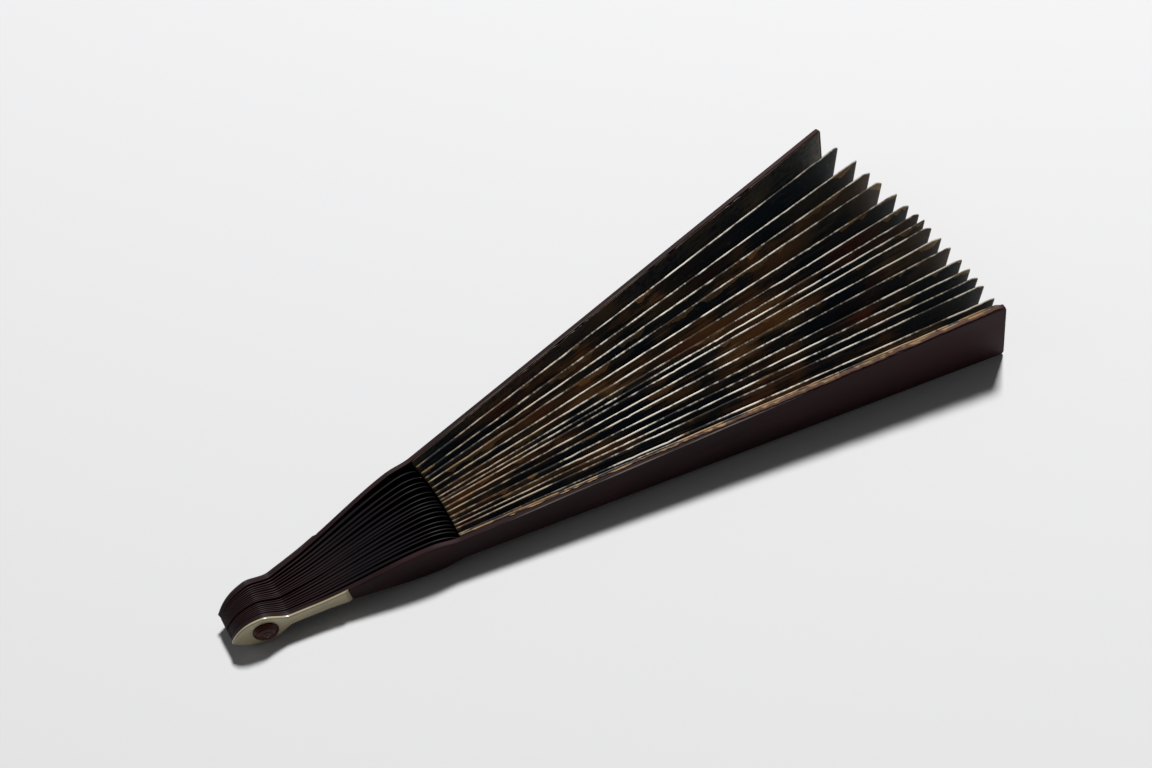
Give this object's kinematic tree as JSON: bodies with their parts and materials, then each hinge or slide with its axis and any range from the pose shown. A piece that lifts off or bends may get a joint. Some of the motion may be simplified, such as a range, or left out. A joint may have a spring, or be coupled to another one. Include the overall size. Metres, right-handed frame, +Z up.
{
  "type": "folding hand fan",
  "caption": "Folding hand fan with shaped wooden sticks, widened guards, horn cheeks, a domed rivet and a pleated paper leaf, sprung apart on its edge and opening about the rivet.",
  "frame": {"origin": "the middle of the fan's bounding box, on the table it rests on", "axes": "+X along the closed fan from the rivet to the leaf's outer edge, +Y along the rivet from the near guard to the far guard, +Z up from the table"},
  "size_m": [0.3036, 0.1194, 0.028],
  "materials": {
    "guard_wood": "waxed, satin",
    "stick_wood": "waxed, satin",
    "pale_horn": "polished pale horn",
    "brown_horn": "polished brown horn",
    "leaf_paper": "painted paper, worn pale along its folds"
  },
  "bodies": {
    "guard_near": {"guard_near": "guard_wood", "horn_plate_near": "pale_horn", "rivet_pin": "brown_horn", "rivet_eye_near": "brown_horn", "pleat_00": "leaf_paper"},
    "stick_01": {"stick_01": "stick_wood", "pleat_01": "leaf_paper"},
    "stick_02": {"stick_02": "stick_wood", "pleat_02": "leaf_paper"},
    "stick_03": {"stick_03": "stick_wood", "pleat_03": "leaf_paper"},
    "stick_04": {"stick_04": "stick_wood", "pleat_04": "leaf_paper"},
    "stick_05": {"stick_05": "stick_wood", "pleat_05": "leaf_paper"},
    "stick_06": {"stick_06": "stick_wood", "pleat_06": "leaf_paper"},
    "stick_07": {"stick_07": "stick_wood", "pleat_07": "leaf_paper"},
    "stick_08": {"stick_08": "stick_wood", "pleat_08": "leaf_paper"},
    "stick_09": {"stick_09": "stick_wood", "pleat_09": "leaf_paper"},
    "stick_10": {"stick_10": "stick_wood", "pleat_10": "leaf_paper"},
    "stick_11": {"stick_11": "stick_wood", "pleat_11": "leaf_paper"},
    "stick_12": {"stick_12": "stick_wood", "pleat_12": "leaf_paper"},
    "stick_13": {"stick_13": "stick_wood", "pleat_13": "leaf_paper"},
    "stick_14": {"stick_14": "stick_wood", "pleat_14": "leaf_paper"},
    "stick_15": {"stick_15": "stick_wood", "pleat_15": "leaf_paper"},
    "stick_16": {"stick_16": "stick_wood", "pleat_16": "leaf_paper"},
    "guard_far": {"guard_far": "guard_wood", "horn_plate_far": "pale_horn", "rivet_eye_far": "brown_horn", "leaf_end_panel": "leaf_paper"}
  },
  "joints": [
    {"name": "open_01", "type": "hinge", "parent": "guard_near", "child": "stick_01", "pos_m": [-0.13952, 0, 0.00698], "axis": [0, -1, 0], "range_deg": [0, 8.5]},
    {"name": "open_02", "type": "hinge", "parent": "stick_01", "child": "stick_02", "pos_m": [-0.13952, 0, 0.00698], "axis": [0, -1, 0], "range_deg": [0, 8.5]},
    {"name": "open_03", "type": "hinge", "parent": "stick_02", "child": "stick_03", "pos_m": [-0.13952, 0, 0.00698], "axis": [0, -1, 0], "range_deg": [0, 8.5]},
    {"name": "open_04", "type": "hinge", "parent": "stick_03", "child": "stick_04", "pos_m": [-0.13952, 0, 0.00698], "axis": [0, -1, 0], "range_deg": [0, 8.5]},
    {"name": "open_05", "type": "hinge", "parent": "stick_04", "child": "stick_05", "pos_m": [-0.13952, 0, 0.00698], "axis": [0, -1, 0], "range_deg": [0, 8.5]},
    {"name": "open_06", "type": "hinge", "parent": "stick_05", "child": "stick_06", "pos_m": [-0.13952, 0, 0.00698], "axis": [0, -1, 0], "range_deg": [0, 8.5]},
    {"name": "open_07", "type": "hinge", "parent": "stick_06", "child": "stick_07", "pos_m": [-0.13952, 0, 0.00698], "axis": [0, -1, 0], "range_deg": [0, 8.5]},
    {"name": "open_08", "type": "hinge", "parent": "stick_07", "child": "stick_08", "pos_m": [-0.13952, 0, 0.00698], "axis": [0, -1, 0], "range_deg": [0, 8.5]},
    {"name": "open_09", "type": "hinge", "parent": "stick_08", "child": "stick_09", "pos_m": [-0.13952, 0, 0.00698], "axis": [0, -1, 0], "range_deg": [0, 8.5]},
    {"name": "open_10", "type": "hinge", "parent": "stick_09", "child": "stick_10", "pos_m": [-0.13952, 0, 0.00698], "axis": [0, -1, 0], "range_deg": [0, 8.5]},
    {"name": "open_11", "type": "hinge", "parent": "stick_10", "child": "stick_11", "pos_m": [-0.13952, 0, 0.00698], "axis": [0, -1, 0], "range_deg": [0, 8.5]},
    {"name": "open_12", "type": "hinge", "parent": "stick_11", "child": "stick_12", "pos_m": [-0.13952, 0, 0.00698], "axis": [0, -1, 0], "range_deg": [0, 8.5]},
    {"name": "open_13", "type": "hinge", "parent": "stick_12", "child": "stick_13", "pos_m": [-0.13952, 0, 0.00698], "axis": [0, -1, 0], "range_deg": [0, 8.5]},
    {"name": "open_14", "type": "hinge", "parent": "stick_13", "child": "stick_14", "pos_m": [-0.13952, 0, 0.00698], "axis": [0, -1, 0], "range_deg": [0, 8.5]},
    {"name": "open_15", "type": "hinge", "parent": "stick_14", "child": "stick_15", "pos_m": [-0.13952, 0, 0.00698], "axis": [0, -1, 0], "range_deg": [0, 8.5]},
    {"name": "open_16", "type": "hinge", "parent": "stick_15", "child": "stick_16", "pos_m": [-0.13952, 0, 0.00698], "axis": [0, -1, 0], "range_deg": [0, 8.5]},
    {"name": "open_17", "type": "hinge", "parent": "stick_16", "child": "guard_far", "pos_m": [-0.13952, 0, 0.00698], "axis": [0, -1, 0], "range_deg": [0, 8.5]}
  ],
  "couplings": [
    {"joint": "open_02", "follows": "open_01", "ratio": 1},
    {"joint": "open_03", "follows": "open_01", "ratio": 1},
    {"joint": "open_04", "follows": "open_01", "ratio": 1},
    {"joint": "open_05", "follows": "open_01", "ratio": 1},
    {"joint": "open_06", "follows": "open_01", "ratio": 1},
    {"joint": "open_07", "follows": "open_01", "ratio": 1},
    {"joint": "open_08", "follows": "open_01", "ratio": 1},
    {"joint": "open_09", "follows": "open_01", "ratio": 1},
    {"joint": "open_10", "follows": "open_01", "ratio": 1},
    {"joint": "open_11", "follows": "open_01", "ratio": 1},
    {"joint": "open_12", "follows": "open_01", "ratio": 1},
    {"joint": "open_13", "follows": "open_01", "ratio": 1},
    {"joint": "open_14", "follows": "open_01", "ratio": 1},
    {"joint": "open_15", "follows": "open_01", "ratio": 1},
    {"joint": "open_16", "follows": "open_01", "ratio": 1},
    {"joint": "open_17", "follows": "open_01", "ratio": 1}
  ]
}
